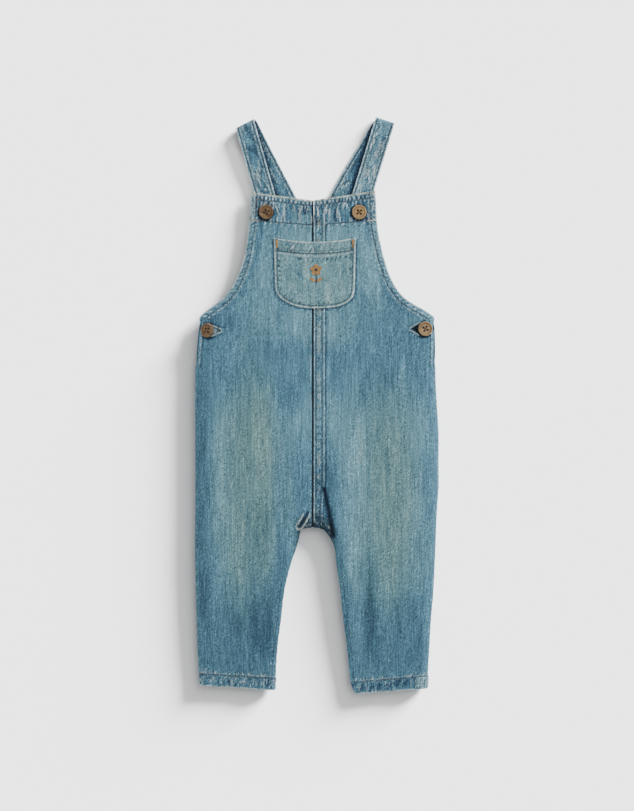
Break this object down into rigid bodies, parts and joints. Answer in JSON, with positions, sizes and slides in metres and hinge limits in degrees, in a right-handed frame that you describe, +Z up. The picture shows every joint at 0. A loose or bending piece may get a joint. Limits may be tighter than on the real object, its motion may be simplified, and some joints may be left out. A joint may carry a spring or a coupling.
{
  "type": "kids dungarees",
  "caption": "Denim dungarees for a small child, laid flat face up: bib with a patch pocket, shoulder straps folded over and buttoned, buttoned side openings, two straight legs.",
  "frame": {"origin": "centre of the laid garment, on the surface it lies on", "axes": "+X towards the wearer's left, +Y from the leg hems to the shoulders, +Z up, out of the face of the bib"},
  "size_m": [0.244, 0.5778, 0.0237],
  "materials": {
    "denim": "washed and faded twill, matte",
    "button": "horn look, satin"
  },
  "bodies": {
    "root": {"front_right": "denim", "front_left": "denim", "back_right": "denim", "back_left": "denim", "side_underlap_right": "denim", "side_underlap_left": "denim", "strap_right": "denim", "strap_left": "denim", "pocket": "denim", "button_shoulder_right": "button", "button_shoulder_left": "button", "button_side_right": "button", "button_side_left": "button"}
  },
  "joints": []
}
